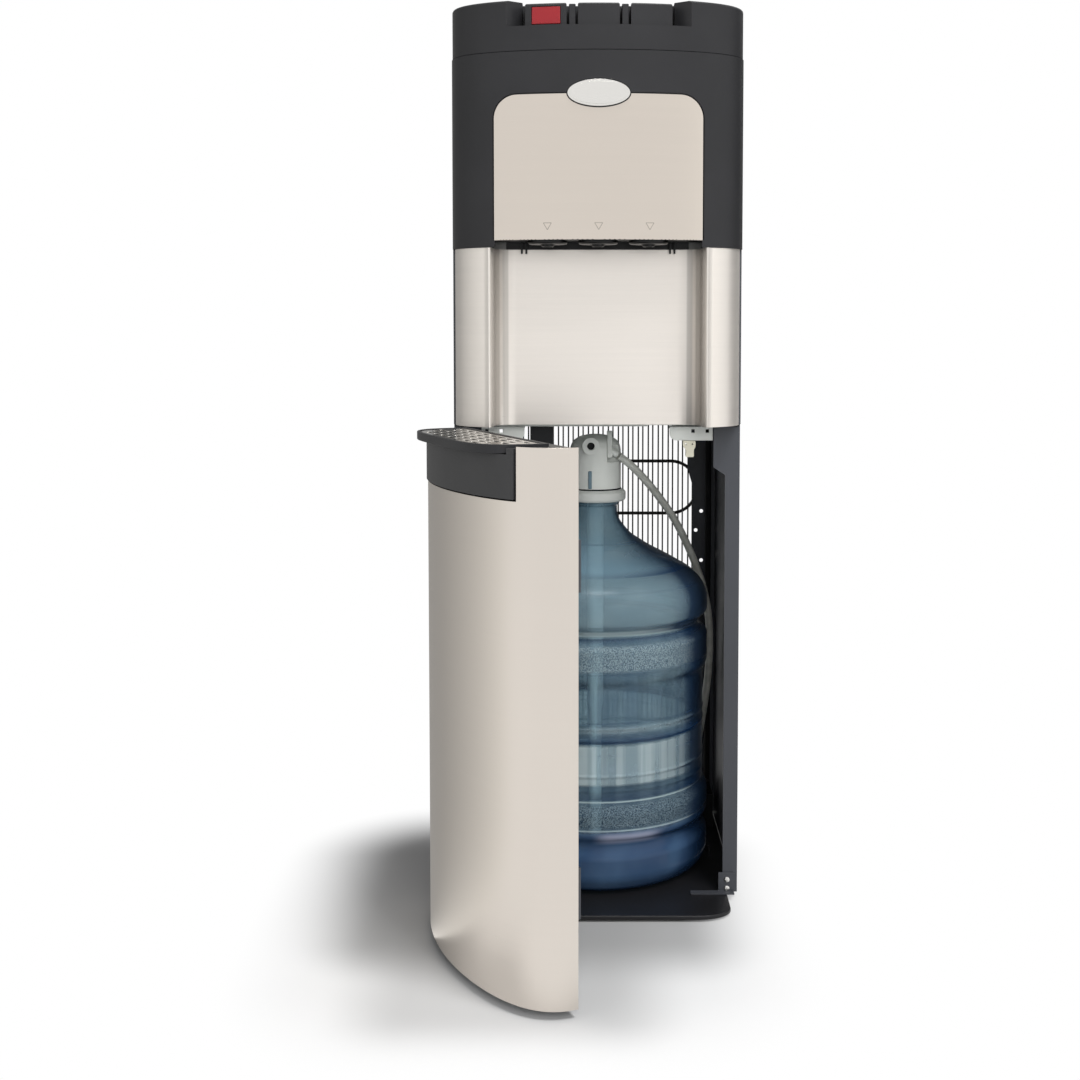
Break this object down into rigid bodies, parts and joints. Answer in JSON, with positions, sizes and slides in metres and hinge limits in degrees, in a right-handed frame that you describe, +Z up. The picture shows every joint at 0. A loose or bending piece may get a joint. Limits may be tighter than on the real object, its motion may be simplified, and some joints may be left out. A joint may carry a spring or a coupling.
{
  "type": "bottom load water cooler",
  "caption": "Tall floor-standing water cooler with a bowed steel door that opens on a large bottle below, a dispensing alcove above it and press paddles on top.",
  "frame": {"origin": "on the floor, under the middle of the plane of the side panels' front flanges", "axes": "+X to the cooler's right as seen from the front, +Y towards its back, +Z up"},
  "size_m": [0.3625, 0.6115, 1.026],
  "materials": {
    "black_plastic": "fine satin grain",
    "compressor_paint": "black enamel",
    "painted_steel": "dark grey powder coat",
    "dark_steel": "black paint",
    "condenser_enamel": "black-brown enamel",
    "brushed_steel": "brushed upright",
    "slotted_steel": "polished, slotted",
    "badge_chrome": "satin, left bare",
    "red_plastic": "gloss",
    "white_plastic": "satin",
    "cream_plastic": "satin",
    "grey_tube": "smooth, flexible",
    "blue_bottle": "clear blue",
    "pale_tube": "natural, smooth",
    "zinc": "zinc plated",
    "rubber": "matte",
    "foam": "expanded foam",
    "circuit_board": "green laminate"
  },
  "bodies": {
    "cabinet": {"base_pan": "black_plastic", "foot_front_left": "rubber", "foot_front_right": "rubber", "foot_rear_left": "rubber", "foot_rear_right": "rubber", "side_panel_right": "painted_steel", "side_panel_left": "painted_steel", "rear_panel": "dark_steel", "mid_shelf": "white_plastic", "tank_shelf": "zinc", "ceiling_bracket_right": "white_plastic", "ceiling_bracket_left": "white_plastic", "probe_hanger": "cream_plastic", "interlock_housing": "black_plastic", "foot_bracket_right": "painted_steel", "hinge_bracket_lower": "painted_steel", "hinge_bracket_upper": "painted_steel", "hinge_pin_lower": "zinc", "hinge_pin_upper": "zinc", "water_bottle": "blue_bottle", "probe_collar": "white_plastic", "probe_cap": "white_plastic", "dip_tube": "pale_tube", "hose_fitting": "white_plastic", "supply_hose": "grey_tube", "water_pump": "black_plastic", "delivery_tube": "rubber", "condenser": "condenser_enamel", "condenser_bracket_lower_right": "dark_steel", "condenser_bracket_upper_right": "dark_steel", "condenser_bracket_lower_left": "dark_steel", "condenser_bracket_upper_left": "dark_steel", "alcove_panel": "brushed_steel", "upper_fascia": "black_plastic", "fascia_plate": "brushed_steel", "oval_badge": "badge_chrome", "nozzle_carrier": "black_plastic", "nozzle_hot": "black_plastic", "nozzle_cold": "black_plastic", "nozzle_room": "black_plastic", "top_cover": "black_plastic", "control_board": "circuit_board", "compressor": "compressor_paint", "hot_tank": "zinc", "cold_tank_insulation": "foam", "cold_tank": "brushed_steel", "cable_gland": "rubber", "drain_cap": "black_plastic"},
    "door": {"door_skin": "brushed_steel", "door_liner": "black_plastic", "door_top_cap": "black_plastic", "handle_plate": "black_plastic", "door_catch_upper": "dark_steel", "door_catch_lower": "dark_steel"},
    "drip_tray": {"drip_tray": "black_plastic"},
    "drip_grille": {"drip_grille": "slotted_steel"},
    "hot_paddle": {"hot_paddle": "black_plastic"},
    "cold_paddle": {"cold_paddle": "black_plastic"},
    "room_paddle": {"room_paddle": "black_plastic"},
    "child_lock": {"child_lock": "red_plastic"}
  },
  "joints": [
    {"name": "door_swing", "type": "hinge", "parent": "cabinet", "child": "door", "pos_m": [-0.157, -0.016, 0.28], "axis": [0, 0, -1], "range_deg": [-67, 43]},
    {"name": "tray_lift", "type": "slide", "parent": "door", "child": "drip_tray", "axis": [0, 0, 1], "range_m": [0, 0.06]},
    {"name": "grille_lift", "type": "slide", "parent": "drip_tray", "child": "drip_grille", "axis": [0, 0, 1], "range_m": [0, 0.04]},
    {"name": "hot_press", "type": "slide", "parent": "cabinet", "child": "hot_paddle", "axis": [0, 0, -1], "range_m": [0, 0.0035], "stiffness_N_per_m": 800, "springref_m": -0.001},
    {"name": "cold_press", "type": "slide", "parent": "cabinet", "child": "cold_paddle", "axis": [0, 0, -1], "range_m": [0, 0.0035], "stiffness_N_per_m": 800, "springref_m": -0.001},
    {"name": "room_press", "type": "slide", "parent": "cabinet", "child": "room_paddle", "axis": [0, 0, -1], "range_m": [0, 0.0035], "stiffness_N_per_m": 800, "springref_m": -0.001},
    {"name": "lock_press", "type": "slide", "parent": "hot_paddle", "child": "child_lock", "axis": [0, 1, 0], "range_m": [0, 0.003], "stiffness_N_per_m": 500, "springref_m": -0.001}
  ]
}
